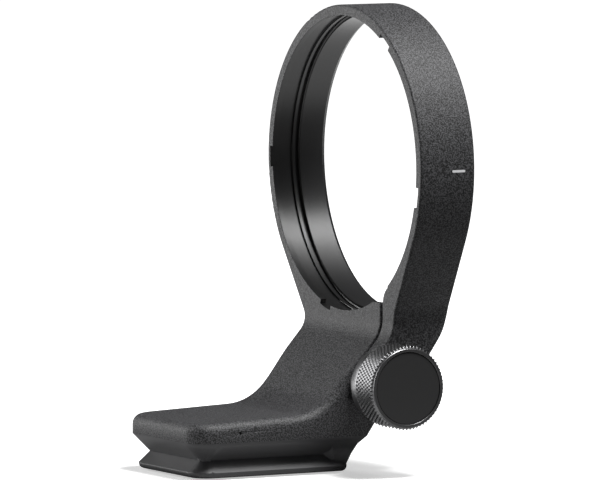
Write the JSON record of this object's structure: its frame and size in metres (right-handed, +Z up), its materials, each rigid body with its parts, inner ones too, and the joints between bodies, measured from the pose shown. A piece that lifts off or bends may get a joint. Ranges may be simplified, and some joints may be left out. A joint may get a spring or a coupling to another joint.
{
  "type": "lens tripod collar",
  "caption": "Black lens tripod collar: thin split ring, sloping arm, dovetail foot and a knurled clamp knob.",
  "frame": {"origin": "on the foot's underside, on the tripod thread's axis", "axes": "+Z up through the foot to the ring, +Y along the lens axis from the foot's front to the ring, +X towards the clamp knob"},
  "size_m": [0.0856, 0.073, 0.1244],
  "materials": {
    "body_coat": "matte",
    "bush_steel": "satin",
    "stud_steel": "satin",
    "washer_steel": "polished",
    "clip_steel": "satin",
    "knob_black": "satin",
    "cap_black": "matte",
    "mark_white": "matte"
  },
  "bodies": {
    "collar": {"collar_body": "body_coat", "index_mark": "mark_white", "tripod_bush": "bush_steel", "thread_insert": "bush_steel", "ear_bush": "bush_steel"},
    "knob_carrier": {"thrust_washer": "washer_steel"},
    "knob": {"clamp_knob": "knob_black", "knob_cap": "cap_black", "clamp_screw": "stud_steel", "retaining_ring": "clip_steel", "knob_screw": "stud_steel", "lock_washer": "bush_steel"}
  },
  "joints": [
    {"name": "knob_travel", "type": "slide", "parent": "collar", "child": "knob_carrier", "axis": [1, 0, 0], "range_m": [0, 0.002]},
    {"name": "knob_turn", "type": "hinge", "parent": "knob_carrier", "child": "knob", "pos_m": [0.0287, 0.02912, 0.0239], "axis": [1, 0, 0], "range_deg": [0, 720]}
  ],
  "couplings": [
    {"joint": "knob_turn", "follows": "knob_travel", "rad_per_m": 6283}
  ]
}
